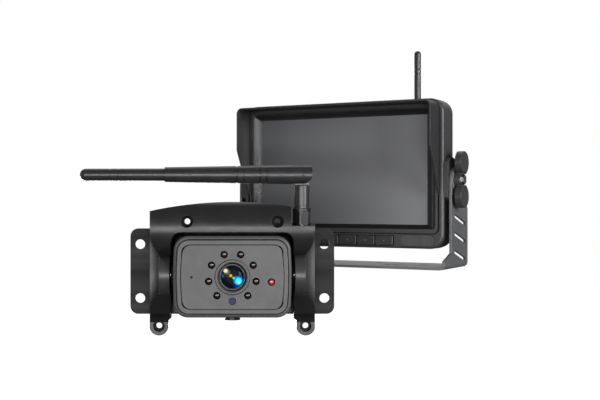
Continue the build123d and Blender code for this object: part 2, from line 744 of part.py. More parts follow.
# ---- monitor unit, in its own frame: X along the screen, -Y out of the screen, Z up ----
groove_inner = visor_half - visor_thick - 0.15
groove_outer = visor_half + 0.15
groove_depth_y = -2.3
strip_half = 3 * button_pitch
window_place = (69.7, -58.15)


def frame_outline(inset):
    """Front outline of the monitor case."""
    middle = (case_top + case_bottom) / 2
    tall = case_top - case_bottom
    radius = case_corner - min(inset, 4.0)
    return Pos(0, middle) * RectangleRounded(2 * (case_half - inset), tall - 2 * inset, radius)


def visor_groove():
    """The narrow groove round the screen window that the sunshade stands in."""
    bottom = window_bottom - 4.2
    top = visor_top + 0.15
    outer = rounded_slab(groove_outer, bottom, top, 5.2, case_front_y - 1, groove_depth_y)
    inner = rounded_slab(groove_inner, bottom + 0.8, top - visor_thick - 0.3, 3.8, case_front_y - 2, 0)
    return outer - inner


def window_funnel():
    """The sloping window from the front face down to the screen."""
    front = Plane.XZ.offset(-case_front_y + 0.01)
    back = Plane.XZ.offset(0.0)
    mouth = Pos(0, (window_top + window_bottom) / 2) * RectangleRounded(
        2 * window_half_x, window_top - window_bottom, 3.0)
    screen = RectangleRounded(2 * screen_half_x, 2 * screen_half_z, 0.6)
    return loft([front * mouth, back * screen])


def button_place(index):
    """Centre of a button along the strip."""
    return (index - (button_count - 1) / 2) * button_pitch


def both_sides():
    """The two sides of the monitor: -1 left, 1 right."""
    return (-1, 1)


rear_posts = [(-84, -56), (84, -56), (-84, 50), (84, 50)]


def make_front_frame():
    """Front half of the monitor case: screen window, sunshade groove, button strip, side bosses."""
    frame = front_slab(frame_outline(0), case_front_y, case_seam_y)
    frame = fillet(frame.faces().sort_by(Axis.Y)[0].edges(), 2.0)
    frame -= front_slab(frame_outline(case_wall), 2.0, case_seam_y + 1)
    frame -= window_funnel()
    frame -= rounded_slab(screen_half_x, -screen_half_z, screen_half_z, 0.6, -1, 3)
    frame -= visor_groove()
    middle_z = (button_top + button_bottom) / 2
    strip = rounded_slab(strip_half + 0.4, button_bottom - 0.4, button_top + 0.4, 1.2, -6, -2.9)
    frame -= strip
    for index in range(button_count):
        x = button_place(index)
        frame -= block(x - 4.2, x + 4.2, -4, 3, middle_z - 2.4, middle_z + 2.4)
    slot = Pos(window_place[0], window_place[1]) * SlotOverall(29.6, 9.3)
    frame -= front_slab(slot, -6, -2.6)
    frame -= rod_y(-4, 3, window_place[0] - 8, window_place[1], 2.0)
    for side in both_sides():
        low, high = sorted((side * (case_half - 2.4), side * (arm_inner - 0.3)))
        boss = rod_x(low, high, pivot_axis_y, pivot_axis_z, boss_radius)
        boss = chamfer(boss.edges().filter_by(GeomType.CIRCLE), 0.6)
        frame += boss & block(low - 1, high + 1, -3.4, case_seam_y, -60, 40)
        low, high = sorted((side * 82, side * (case_half - 2)))
        frame += rod_x(low, high, pivot_axis_y, pivot_axis_z, 5.9)
        low, high = sorted((side * 81, side * 99))
        frame -= rod_x(low, high, pivot_axis_y, pivot_axis_z, 4.0)
    return frame


def make_rear_cover():
    """Rear half of the monitor case: crowned back, vents, speaker grille and socket recess."""
    cover = front_slab(frame_outline(0.3), case_seam_y, case_back_y)
    cover = chamfer(cover.faces().sort_by(Axis.Y)[-1].edges(), 5.0)
    cover -= front_slab(frame_outline(case_wall + 0.3), case_seam_y - 1, case_seam_y + 3.5)
    cover -= front_slab(frame_outline(case_wall + 5.0), case_seam_y, case_back_y - case_wall)
    for x, z in rear_posts:
        cover += rod_y(case_seam_y - 12, case_back_y - 1, x, z, 3.6)
        cover -= rod_y(case_seam_y - 13, case_back_y + 1, x, z, 1.55)
        cover -= rod_y(case_back_y - 2.2, case_back_y + 1, x, z, 3.0)
    for row in range(7):
        z = 12 + 4.4 * row
        cover -= block(-46, -12, case_back_y - 4, case_back_y + 1, z, z + 2.0)
        cover -= block(-4, 30, case_back_y - 4, case_back_y + 1, z, z + 2.0)
    for row in range(6):
        for column in range(6):
            x = -52 + 4.2 * column
            z = -36 + 4.2 * row
            cover -= rod_y(case_back_y - 4, case_back_y + 1, x, z, 1.1)
    cover -= block(20, 52, case_back_y - 4, case_back_y + 1, -40, -26)
    cover -= rod_y(case_back_y - 5, case_back_y + 1, whip_x, whip_pivot_z, 3.2)
    return cover


def make_lcd_panel():
    """Screen panel: glass sheet in a thin metal tray."""
    return block(-screen_half_x - 3, screen_half_x + 3, 2.0, 6.5, -screen_half_z - 3, screen_half_z + 1.2)


def make_screen_cover():
    """Clear cover over the screen."""
    return rounded_slab(screen_half_x - 0.1, -screen_half_z + 0.1, screen_half_z - 0.1, 0.6, 0.0, 1.9)


def make_main_board():
    """Main board with processor, radio can and connectors."""
    parts = [block(-66, 60, 10.0, 11.6, -40, 36)]
    parts.append(block(-12, 6, 11.6, 13.4, -6, 12))
    parts.append(block(30, 52, 11.6, 14.2, 10, 30))
    parts.append(block(-12, 12, 11.6, 17.0, -36, -26))
    for i in range(5):
        parts.append(rod_y(11.6, 16.6, -50 + 12 * i, 26, 2.6))
    return parts


def make_button_board():
    """Narrow board behind the button strip, with one switch for each button."""
    middle_z = (button_top + button_bottom) / 2
    parts = [block(-strip_half + 1, strip_half - 1, 3.2, 4.4, middle_z - 3.4, middle_z + 3.4)]
    for index in range(button_count):
        x = button_place(index)
        parts.append(block(x - 1.8, x + 1.8, 1.9, 3.2, middle_z - 1.6, middle_z + 1.6))
    return parts


def make_speaker():
    """Small round loudspeaker behind the grille."""
    speaker = rod_y(17.6, 21.8, -41.5, -25.5, 13.0)
    speaker += rod_y(13.6, 17.6, -41.5, -25.5, 7.0)
    speaker -= Pos(-41.5, 23.5, -25.5) * Sphere(5.0)
    return speaker


def make_remote_window():
    """Stadium-shaped window for the remote control's light."""
    window = front_slab(Pos(window_place[0], window_place[1]) * SlotOverall(29.2, 8.9), -3.75, -2.6)
    return window


def make_rear_screws():
    """Four screws that hold the rear cover."""
    return [pan_screw(x, z, case_back_y - 2.2, 5.0, 2.8, 1.5) for x, z in rear_posts]


def make_knob_inserts():
    """Two threaded sleeves in the side bosses."""
    inserts = []
    for side in both_sides():
        low, high = sorted((side * 83, side * 95.4))
        sleeve = rod_x(low, high, pivot_axis_y, pivot_axis_z, 3.95)
        sleeve -= rod_x(low - 1, high + 1, pivot_axis_y, pivot_axis_z, 2.55)
        inserts.append(sleeve)
    return inserts


def make_power_socket():
    """Socket block in the back: a round power inlet and a four-pin round inlet beside it."""
    socket = block(20.2, 51.8, 16.0, case_back_y - 0.8, -39.8, -26.2)
    socket -= rod_y(case_back_y - 8, case_back_y + 1, 27.5, -33, 3.0)
    socket += rod_y(case_back_y - 8, case_back_y - 2, 27.5, -33, 0.9)
    socket -= rod_y(case_back_y - 6, case_back_y + 1, 42.5, -33, 4.6)
    for sx, sz in corner_signs:
        socket += rod_y(case_back_y - 6.5, case_back_y - 2, 42.5 + sx * 1.5, -33 + sz * 1.5, 0.5)
    return socket


def make_rear_antenna_socket():
    """Round foot of the monitor's antenna."""
    foot = rod_y(case_back_y - 5, case_back_y, whip_x, whip_pivot_z, 3.15)
    foot += rod_y(case_back_y, case_back_y + 0.9, whip_x, whip_pivot_z, 4.6)
    return foot


def make_rear_antenna_knuckle():
    """Turning joint of the monitor's antenna, with a tongue for the whip."""
    start = case_back_y + 1.1
    shoulder = whip_y - 3.0
    knuckle = rod_y(start, shoulder, whip_x, whip_pivot_z, 3.4)
    knuckle += block(whip_x - 1.1, whip_x + 1.1, shoulder - 0.5, whip_y,
                     whip_pivot_z - 2.2, whip_pivot_z + 2.2)
    knuckle += rod_x(whip_x - 1.1, whip_x + 1.1, whip_y, whip_pivot_z, 2.2)
    return knuckle - rod_x(whip_x - 5, whip_x + 5, whip_y, whip_pivot_z, 0.85)


def make_rear_antenna_whip():
    """Slim round antenna with two rings, a round tip and a forked foot on its own pin."""
    whip = rod_z(whip_pivot_z, whip_top - whip_radius, whip_x, whip_y, whip_radius)
    whip += Pos(whip_x, whip_y, whip_top - whip_radius) * Sphere(whip_radius)
    whip += Pos(whip_x, whip_y, whip_pivot_z) * Sphere(whip_radius)
    for z in (86.3, 82.4):
        whip -= ring_slot(whip_x, whip_y, z, whip_radius, 0.35, 0.7)
    whip -= block(whip_x - 1.25, whip_x + 1.25, whip_y - 5, whip_y + 5, whip_pivot_z - 4, whip_pivot_z + 3.2)
    whip -= rod_x(whip_x - 5, whip_x + 5, whip_y, whip_pivot_z, 0.8)
    pin = rod_x(whip_x - 2.5, whip_x + 2.5, whip_y, whip_pivot_z, 0.8)
    return [whip, pin]


def make_sunshade():
    """U-shaped sunshade: a top and two sides that slope back."""
    slope_top = 18.5
    slope_low = -20.5
    outer = rounded_slab(visor_half, -90, visor_top, 5.0, visor_front_y, groove_depth_y - 0.2)
    inner = rounded_slab(visor_half - visor_thick, -92, visor_top - visor_thick, 3.6, -40, 5)
    shade = outer - inner
    keep = Polyline((visor_front_y - 1, 70), (visor_front_y - 1, slope_top), (visor_front_y, slope_top),
                    (case_front_y, slope_low), (0, slope_low), (0, 70), (visor_front_y - 1, 70))
    return shade & side_slab(make_face(keep), -100, 100)


def make_button(index):
    """One button: a softly crowned cap on a short plunger."""
    x = button_place(index)
    middle_z = (button_top + button_bottom) / 2
    half = button_width / 2
    cap = rounded_slab(half, button_bottom, button_top, 1.0, -5.0, -3.6)
    cap = fillet(cap.faces().sort_by(Axis.Y)[0].edges(), 0.7)
    stem = block(-3.8, 3.8, -3.6, 1.1, middle_z - 2.0, middle_z + 2.0)
    return Pos(x, 0, 0) * (cap + stem)


def arm_outline():
    """Side outline of the bracket: round head at the pivot, straight back, chamfered toe."""
    head = 10.0
    top = pivot_axis_z + head
    arc = ThreePointArc((-2.0, pivot_axis_z), (pivot_axis_y, top), (pivot_axis_y + head, pivot_axis_z))
    rest = Polyline((pivot_axis_y + head, pivot_axis_z), (strap_back_y, -32.0),
                    (strap_back_y, strap_bottom), (strap_front_y, strap_bottom), (strap_front_y, -73.9),
                    (-2.0, -67.9), (-2.0, pivot_axis_z))
    return make_face(arc + rest)


strap_holes = [(-70, 12), (70, 12), (-25, 24), (25, 24)]


def make_monitor_bracket():
    """Sheet-metal U bracket with slotted arms and screw holes in its strap."""
    thick = arm_outer - arm_inner
    outer = rounded_slab(arm_outer, strap_bottom, 60, 4.0, -30, 50)
    inner = rounded_slab(arm_inner, strap_bottom + thick, 62, 2.0, -31, 51)
    bracket = (outer - inner) & side_slab(arm_outline(), -110, 110)
    for rear_z, front_z in ((-44.8, -38.0), (-59.5, -52.4), (-74.2, -67.2)):
        length = ((33.2 - 7.2) ** 2 + (front_z - rear_z) ** 2) ** 0.5 + 3.0
        slot = Pos(20.2, (rear_z + front_z) / 2) * Rot(0, 0, -15.2) * SlotOverall(length, 3.0)
        bracket -= side_slab(slot, -120, 120)
    bracket -= rod_x(-120, 120, pivot_axis_y, pivot_axis_z, 2.8)
    for x, y in strap_holes:
        bracket -= rod_z(strap_bottom - 1, strap_bottom + thick + 1, x, y, 2.25)
    for x in (-48, 48):
        slot = Pos(x, 2) * SlotOverall(22, 4.5)
        bracket -= Pos(0, 0, strap_bottom - 1) * extrude(slot, amount=4)
    return bracket


wing_height = 18.6
knob_inner = arm_outer + 0.4
wing_inner = knob_inner + 2.1
wing_outer = wing_inner + 5.6
hub_radius = 6.4
rim_step = 0.5
stud_radius = 2.5


def wing_outline(inset):
    """Outline of the knob's two wings: rounded petals joined by a narrow neck."""
    middle = knob_half_height - wing_height / 2
    outline = Rectangle(9.0 - 2 * inset, 2 * middle)
    for side in (-1, 1):
        outline += Pos(0, side * middle) * Ellipse(knob_half_width - inset, wing_height / 2 - inset)
    return outline


def make_knob():
    """Right clamping knob: two thick dished wings on a round hub."""
    knob = side_slab(wing_outline(0), wing_inner, wing_outer - rim_step)
    knob += side_slab(wing_outline(rim_step), wing_outer - rim_step - 0.1, wing_outer)
    knob += rod_x(knob_inner, wing_outer - 2.4, 0, 0, hub_radius)
    knob -= rod_x(wing_outer - 2.4, wing_outer + 1, 0, 0, hub_radius)
    middle = knob_half_height - wing_height / 2
    for side in (-1, 1):
        knob -= Pos(wing_outer + 20.0, 0, side * middle) * Sphere(21.5)
    knob -= rod_x(knob_inner - 1, wing_outer, 0, 0, stud_radius)
    return Pos(0, pivot_axis_y, pivot_axis_z) * knob


def make_knob_stud():
    """Right stud: bright hexagon head seated in the knob and a shank into the case."""
    hexagon = Rot(0, 90, 0) * extrude(RegularPolygon(4.4, 6), amount=200)
    head = hexagon & rod_x(wing_outer - 2.4, wing_outer - 0.2, 0, 0, 4.2)
    stud = head + rod_x(84.5, wing_outer - 2.4, 0, 0, stud_radius)
    return Pos(0, pivot_axis_y, pivot_axis_z) * stud


def make_pivot_bolt():
    """Left pivot bolt: low round head with a hexagon socket, and a shank into the case."""
    head_outer = knob_inner + 2.2
    bolt = rod_x(knob_inner, head_outer, 0, 0, 6.0)
    bolt = fillet(bolt.faces().sort_by(Axis.X)[-1].edges(), 0.8)
    bolt += rod_x(84.5, knob_inner, 0, 0, stud_radius)
    socket = Rot(0, 90, 0) * extrude(RegularPolygon(2.3, 6), amount=200)
    bolt -= socket & block(head_outer - 1.4, head_outer + 5, -10, 10, -10, 10)
    return mirrored(Pos(0, pivot_axis_y, pivot_axis_z) * bolt)


def make_bracket_washers():
    """Two thin washers outside the arms, carried by the bracket."""
    washers = []
    for side in both_sides():
        low, high = sorted((side * arm_outer, side * (arm_outer + 0.3)))
        washers.append(rod_x(low, high, pivot_axis_y, pivot_axis_z, 9.0)
                       - rod_x(low - 1, high + 1, pivot_axis_y, pivot_axis_z, 2.8))
    return washers


def place_monitor(shape):
    """Moves a monitor piece from its own frame to its place in the kit."""
    return Pos(*monitor_centre) * Rot(0, 0, monitor_turn_deg) * shape


def camera_nodes():
    """Every node of the camera unit."""
    barrel = make_pivot_barrel()
    return {
        "adapter_plate": make_adapter_plate(),
        "plate_screws": make_plate_screws(),
        "housing_base": make_housing_base(),
        "rear_lid": make_rear_lid(),
        "lid_gasket": make_lid_gasket(),
        "housing_hood": make_housing_hood(),
        "hood_screws": make_hood_screws(),
        "pivot_barrel_left": mirrored(barrel),
        "pivot_barrel_right": barrel,
        "pivot_pins": make_pivot_pins(),
        "transmitter_board": make_transmitter_board(),
        "cable_gland": make_cable_gland(),
        "antenna_jack": make_antenna_jack(),
        "antenna_nut": make_antenna_nut(),
        "module_shell": make_module_shell(),
        "module_bezel": make_module_bezel(),
        "face_plate": make_face_plate(),
        "lens_ring": make_lens_ring(),
        "lens_barrel": make_lens_barrel(),
        "lens_glass": make_lens_glass(),
        "ir_leds": make_ir_leds(),
        "light_sensor": make_sensor_window(),
        "status_led": make_led(*status_place, -65.3, led_radius),
        "led_board": make_led_board(),
        "sensor_board": make_sensor_board(),
        "module_screws": make_module_screws(),
        "antenna_knuckle": make_antenna_knuckle(),
        "elbow_sleeve": make_elbow_sleeve(),
        "elbow_pin": make_elbow_pin(),
        "antenna_sleeve": make_antenna_sleeve(),
        "antenna_tip": make_antenna_tip(),
        "antenna_radiator": make_antenna_radiator(),
    }


def monitor_nodes():
    """Every node of the monitor unit, in the monitor's own frame."""
    nodes = {
        "monitor_bracket": make_monitor_bracket(),
        "bracket_washers": make_bracket_washers(),
        "front_frame": make_front_frame(),
        "rear_cover": make_rear_cover(),
        "lcd_panel": make_lcd_panel(),
        "screen_cover": make_screen_cover(),
        "main_board": make_main_board(),
        "button_board": make_button_board(),
        "speaker": make_speaker(),
        "remote_window": make_remote_window(),
        "rear_screws": make_rear_screws(),
        "knob_inserts": make_knob_inserts(),
        "power_socket": make_power_socket(),
        "rear_antenna_socket": make_rear_antenna_socket(),
        "rear_antenna_knuckle": make_rear_antenna_knuckle(),
        "rear_antenna_whip": make_rear_antenna_whip(),
        "sunshade": make_sunshade(),
        "knob_right": make_knob(),
        "knob_stud_right": make_knob_stud(),
        "pivot_bolt_left": make_pivot_bolt(),
    }
    for index in range(button_count):
        nodes["button_" + str(index + 1)] = make_button(index)
    return nodes


def write_node(name, shape):
    """Writes one node, whether it is one solid or a group of them."""
    if isinstance(shape, list):
        solids = [solid for piece in shape for solid in piece.solids()]
        shape = Compound(children=solids)
    shape.label = name
    export_step(shape, "parts/" + name + ".step")


os.makedirs("parts", exist_ok=True)
for node_name, node_shape in camera_nodes().items():
    write_node(node_name, node_shape)
for node_name, node_shape in monitor_nodes().items():
    if isinstance(node_shape, list):
        placed = [place_monitor(piece) for piece in node_shape]
    else:
        placed = place_monitor(node_shape)
    write_node(node_name, placed)
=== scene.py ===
import json
import math

import bmesh
import bpy
from mathutils import Matrix, Vector


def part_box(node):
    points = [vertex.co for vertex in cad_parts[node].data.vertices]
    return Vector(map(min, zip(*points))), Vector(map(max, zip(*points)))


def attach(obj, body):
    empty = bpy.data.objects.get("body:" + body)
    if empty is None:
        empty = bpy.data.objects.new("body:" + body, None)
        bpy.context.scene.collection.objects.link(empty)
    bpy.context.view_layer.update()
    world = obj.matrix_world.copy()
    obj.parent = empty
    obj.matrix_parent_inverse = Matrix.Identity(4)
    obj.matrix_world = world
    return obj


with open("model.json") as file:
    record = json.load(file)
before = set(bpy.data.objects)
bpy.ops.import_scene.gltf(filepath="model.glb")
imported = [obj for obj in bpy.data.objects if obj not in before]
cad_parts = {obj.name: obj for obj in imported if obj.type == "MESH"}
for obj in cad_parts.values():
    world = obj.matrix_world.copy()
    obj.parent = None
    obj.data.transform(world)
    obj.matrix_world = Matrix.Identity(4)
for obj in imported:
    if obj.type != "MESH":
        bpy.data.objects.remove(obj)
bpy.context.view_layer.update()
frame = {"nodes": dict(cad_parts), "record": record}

nodes = frame["nodes"]

# ---- sizes and places; those of the finer pieces are in mm, in their unit's own axes ----
MM = 0.001
MONITOR_PLACE = (0.0927, 0.0951, 0.079)
MONITOR_TURN = math.radians(-30.0)
MONITOR = Matrix.Translation(MONITOR_PLACE) @ Matrix.Rotation(MONITOR_TURN, 4, "Z")

LENS_FRONT_Y = -0.0630
LED_CIRCLE = 16.84
LED_DEGREES = (20, 60, 100, 140, -20, -60, -100, -140)
# painted highlights on the lights, in mm: shift off each light's centre, depth, the status light's
# place, half size
LED_HIGHLIGHT_SHIFT = (-0.15, 0.3)
LED_HIGHLIGHT_Y = -65.14
STATUS_HIGHLIGHT_PLACE = (27.3, -65.24, -3.1)
HIGHLIGHT_HALF_SIZE = (0.95, 0.22, 0.5)
RETAINER_PROFILE = [(8.25, -62.6), (8.25, -62.9), (8.5, -63.1), (9.1, -63.1), (9.35, -62.9),
                    (9.35, -62.6)]
NOTCH_DEPTH = 0.35
NOTCH_STEPS = 3

BUTTON_PITCH = 16.4
BUTTON_MIDDLE_Z = -58.45
BUTTON_FRONT_Y = -4.98
BUTTON_MARKS = ("bar", "up", "bar", "down", "bar", "up")
MARK_HEIGHT = 0.14
MARK_EDGE = 0.04

# half width, top, bottom, y and corner radius of the screen window, at its mouth and at the screen
WINDOW_MOUTH = (86.0, 51.7, -48.8, -3.9, 3.0)
WINDOW_SCREEN = (77.0, 45.25, -45.25, 0.0, 0.6)
LINING_PROUD = 0.12
LINING_SUNK = 0.08


# ---- node-tree helpers ----
def new_material(name):
    """An empty material with its Principled shader."""
    material = bpy.data.materials.new(name)
    material.use_nodes = True
    tree = material.node_tree
    shader = tree.nodes["Principled BSDF"]
    return material, tree, shader


def feed(tree, shader, socket, value):
    """Joins a value that varies over the surface to a socket of the shader."""
    tree.links.new(value, shader.inputs[socket])


def object_point(tree):
    """The surface point in the object's own space."""
    return tree.nodes.new("ShaderNodeTexCoord").outputs["Object"]


def noise(tree, point, scale, detail=3.0, roughness=0.5):
    """A noise value at a scale given in waves per metre."""
    node = tree.nodes.new("ShaderNodeTexNoise")
    node.inputs["Scale"].default_value = scale
    node.inputs["Detail"].default_value = detail
    node.inputs["Roughness"].default_value = roughness
    tree.links.new(point, node.inputs["Vector"])
    return node.outputs["Fac"]


def remap(tree, value, low, high, to_low, to_high):
    """Maps a value's range onto another one, clamped."""
    node = tree.nodes.new("ShaderNodeMapRange")
    node.inputs["From Min"].default_value = low
    node.inputs["From Max"].default_value = high
    node.inputs["To Min"].default_value = to_low
    node.inputs["To Max"].default_value = to_high
    tree.links.new(value, node.inputs["Value"])
    return node.outputs["Result"]


def stretch(tree, point, factors):
    """The same point with its axes scaled, for streaks."""
    node = tree.nodes.new("ShaderNodeMapping")
    node.inputs["Scale"].default_value = factors
    tree.links.new(point, node.inputs["Vector"])
    return node.outputs["Vector"]


def blend_colour(tree, factor, first, second):
    """A mix of two colours; either may be a colour or a socket."""
    node = tree.nodes.new("ShaderNodeMix")
    node.data_type = "RGBA"
    for index, colour in ((6, first), (7, second)):
        if isinstance(colour, bpy.types.NodeSocket):
            tree.links.new(colour, node.inputs[index])
        else:
            node.inputs[index].default_value = (*colour, 1.0)
    tree.links.new(factor, node.inputs[0])
    return node.outputs[2]


def multiply(tree, first, second):
    """The product of two values."""
    node = tree.nodes.new("ShaderNodeMath")
    node.operation = "MULTIPLY"
    tree.links.new(first, node.inputs[0])
    if isinstance(second, bpy.types.NodeSocket):
        tree.links.new(second, node.inputs[1])
    else:
        node.inputs[1].default_value = second
    return node.outputs[0]


def bump(tree, height, distance, strength=1.0, under=None):
    """A bump from a height value, laid over another one."""
    node = tree.nodes.new("ShaderNodeBump")
    node.inputs["Strength"].default_value = strength
    node.inputs["Distance"].default_value = distance
    tree.links.new(height, node.inputs["Height"])
    if under is not None:
        tree.links.new(under, node.inputs["Normal"])
    return node.outputs["Normal"]


def edge_highlight_mask(tree, radius, gain):
    """1 on sharp edges, 0 on flats: how far a softened normal leans from the true one; it places
    painted edge highlights.
    """
    soft = tree.nodes.new("ShaderNodeBevel")
    soft.samples = 4
    soft.inputs["Radius"].default_value = radius
    hard = tree.nodes.new("ShaderNodeNewGeometry")
    dot = tree.nodes.new("ShaderNodeVectorMath")
    dot.operation = "DOT_PRODUCT"
    tree.links.new(soft.outputs["Normal"], dot.inputs[0])
    tree.links.new(hard.outputs["Normal"], dot.inputs[1])
    return remap(tree, dot.outputs["Value"], 1.0, 1.0 - gain, 0.0, 1.0)


def soft_edges(tree, radius):
    """A normal that rounds sharp edges off by a small radius."""
    node = tree.nodes.new("ShaderNodeBevel")
    node.samples = 6
    node.inputs["Radius"].default_value = radius
    return node.outputs["Normal"]


def openness(tree, reach):
    """0 in gaps, wells and inner corners, 1 on open surfaces: the mask of painted shade."""
    node = tree.nodes.new("ShaderNodeAmbientOcclusion")
    node.samples = 8
    node.inputs["Distance"].default_value = reach
    return remap(tree, node.outputs["AO"], 0.4, 0.88, 0.0, 1.0)


def painted_gap_shade(tree, colour, reach, darkest=0.07, open_part=None):
    """The colour, darkened in gaps, wells and inner corners: painted shade."""
    open_part = open_part or openness(tree, reach)
    dark = tree.nodes.new("ShaderNodeMix")
    dark.data_type = "RGBA"
    dark.blend_type = "MULTIPLY"
    dark.inputs[0].default_value = 1.0
    tree.links.new(colour, dark.inputs[6])
    dark.inputs[7].default_value = (darkest, darkest, darkest, 1.0)
    return blend_colour(tree, open_part, dark.outputs[2], colour)


def spot(tree, point, place, reach, edge=0.5, squeeze=(1.0, 1.0, 1.0)):
    """1 inside a soft round patch about a place, 0 outside."""
    shifted = tree.nodes.new("ShaderNodeVectorMath")
    shifted.operation = "SUBTRACT"
    shifted.inputs[1].default_value = place
    tree.links.new(point, shifted.inputs[0])
    length = tree.nodes.new("ShaderNodeVectorMath")
    length.operation = "LENGTH"
    tree.links.new(stretch(tree, shifted.outputs["Vector"], squeeze), length.inputs[0])
    return remap(tree, length.outputs["Value"], reach * (1 - edge), reach * (1 + edge), 1.0, 0.0)


# ---- materials ----
def moulded_plastic(name, colour, rough, grain=1400.0, grain_depth=0.00003, highlight_lift=1.6,
                    edge=0.0006, specular=0.5, shade_reach=0.006):
    """Moulded plastic: fine grain, slight drift in tone, painted highlights on edges, painted shade
    in gaps.
    """
    material, tree, shader = new_material(name)
    point = object_point(tree)
    drift = remap(tree, noise(tree, point, 34.0, 4.0), 0.3, 0.7, 0.0, 1.0)
    dark = tuple(c * 0.88 for c in colour)
    pale = tuple(c * 1.1 for c in colour)
    base = blend_colour(tree, drift, dark, pale)
    fine = noise(tree, point, grain, 2.0)
    speck = remap(tree, fine, 0.35, 0.7, 0.0, 0.35)
    base = blend_colour(tree, speck, base, tuple(c * 1.35 for c in colour))
    # painted highlight: paler edges, broken into patches
    highlight_breakup = remap(tree, noise(tree, point, 160.0), 0.35, 0.65, 0.25, 0.8)
    plastic_edge_highlight = multiply(tree, edge_highlight_mask(tree, edge, 0.25), highlight_breakup)
    plastic_highlight_colour = tuple(min(1.0, c * highlight_lift + 0.012) for c in colour)
    base = blend_colour(tree, plastic_edge_highlight, base, plastic_highlight_colour)
    # painted shade in gaps; the same mask also makes the gaps rough
    open_part = openness(tree, shade_reach)
    feed(tree, shader, "Base Color", painted_gap_shade(tree, base, shade_reach, open_part=open_part))
    smudge = noise(tree, point, 70.0, 5.0, 0.6)
    smooth = remap(tree, smudge, 0.3, 0.7, rough - 0.05, rough + 0.06)
    dusty = tree.nodes.new("ShaderNodeMix")
    tree.links.new(open_part, dusty.inputs[0])
    dusty.inputs[2].default_value = 0.95
    tree.links.new(smooth, dusty.inputs[3])
    feed(tree, shader, "Roughness", dusty.outputs[0])
    shader.inputs["Specular IOR Level"].default_value = specular
    feed(tree, shader, "Normal", bump(tree, fine, grain_depth, 1.0, soft_edges(tree, 0.0003)))
    return material


def soft_rubber(name, colour, rough):
    """Satin rubber: velvety sheen, painted shade in the hollows, very fine tooth."""
    material, tree, shader = new_material(name)
    point = object_point(tree)
    drift = remap(tree, noise(tree, point, 90.0, 5.0, 0.6), 0.35, 0.7, 0.0, 1.0)
    dark = tuple(c * 0.85 for c in colour)
    pale = tuple(c * 1.25 for c in colour)
    base = blend_colour(tree, drift, dark, pale)
    # painted shade in the hollows
    feed(tree, shader, "Base Color", painted_gap_shade(tree, base, 0.003))
    rubbing = noise(tree, point, 240.0)
    feed(tree, shader, "Roughness", remap(tree, rubbing, 0.3, 0.7, rough - 0.05, rough + 0.07))
    shader.inputs["Sheen Weight"].default_value = 0.03
    shader.inputs["Sheen Roughness"].default_value = 0.5
    fine = noise(tree, point, 2600.0, 2.0)
    feed(tree, shader, "Normal", bump(tree, fine, 0.000025, 1.0, soft_edges(tree, 0.0002)))
    return material


def brushed_plate(name, colour, rough, along=(1.0, 1.0, 1.0), metallic=1.0):
    """Brushed plate: long fine streaks in tone, roughness and relief, painted shade in gaps and
    painted highlights on edges.
    """
    material, tree, shader = new_material(name)
    point = object_point(tree)
    streak_point = stretch(tree, point, along)
    streak = noise(tree, streak_point, 1800.0, 4.0, 0.7)
    wide = noise(tree, streak_point, 90.0, 2.0)
    tone = remap(tree, streak, 0.3, 0.7, 0.0, 1.0)
    dark = tuple(c * 0.8 for c in colour)
    pale = tuple(c * 1.2 for c in colour)
    base = blend_colour(tree, tone, dark, pale)
    # painted shade in gaps
    base = painted_gap_shade(tree, base, 0.012, 0.3)
    # painted highlight on the edges
    edge_highlight_amount = multiply(tree, edge_highlight_mask(tree, 0.0005, 0.3), 0.6)
    edge_highlight_colour = tuple(min(1.0, c * 1.6 + 0.03) for c in colour)
    base = blend_colour(tree, edge_highlight_amount, base, edge_highlight_colour)
    feed(tree, shader, "Base Color", base)
    shader.inputs["Metallic"].default_value = metallic
    shader.inputs["Specular IOR Level"].default_value = 0.2
    feed(tree, shader, "Roughness", remap(tree, wide, 0.3, 0.7, rough - 0.07, rough + 0.09))
    feed(tree, shader, "Normal", bump(tree, streak, 0.000006, 1.0, soft_edges(tree, 0.0003)))
    return material


def powder_coat(name, colour, rough):
    """Powder-coated steel: orange-peel relief, fine sparkle, painted highlights on edges in small
    flecks, painted shade in gaps.
    """
    material, tree, shader = new_material(name)
    point = object_point(tree)
    peel = noise(tree, point, 900.0, 2.0)
    drift = remap(tree, noise(tree, point, 26.0, 4.0), 0.3, 0.7, 0.0, 1.0)
    dark = tuple(c * 0.88 for c in colour)
    pale = tuple(c * 1.12 for c in colour)
    base = blend_colour(tree, drift, dark, pale)
    # painted highlight on the edges, broken into small flecks
    highlight_flecks = remap(tree, noise(tree, point, 420.0), 0.45, 0.65, 0.0, 0.7)
    edge_highlight_amount = multiply(tree, edge_highlight_mask(tree, 0.0005, 0.3), highlight_flecks)
    base = blend_colour(tree, edge_highlight_amount, base, (0.34, 0.34, 0.35))
    # painted shade in gaps
    feed(tree, shader, "Base Color", painted_gap_shade(tree, base, 0.004, 0.3))
    shader.inputs["Metallic"].default_value = 0.35
    feed(tree, shader, "Roughness", remap(tree, peel, 0.3, 0.7, rough - 0.05, rough + 0.05))
    feed(tree, shader, "Normal", bump(tree, peel, 0.00004, 1.0, soft_edges(tree, 0.0003)))
    return material


def turned_metal(name, colour, rough):
    """Bright turned metal with faint rings and a few specks of tarnish."""
    material, tree, shader = new_material(name)
    point = object_point(tree)
    rings = noise(tree, point, 2400.0, 3.0, 0.7)
    stain = remap(tree, noise(tree, point, 300.0, 5.0, 0.7), 0.55, 0.75, 0.0, 0.5)
    base = blend_colour(tree, stain, colour, tuple(c * 0.5 for c in colour))
    feed(tree, shader, "Base Color", base)
    shader.inputs["Metallic"].default_value = 1.0
    feed(tree, shader, "Roughness", remap(tree, rings, 0.3, 0.7, rough - 0.06, rough + 0.08))
    feed(tree, shader, "Normal", bump(tree, rings, 0.00001))
    return material


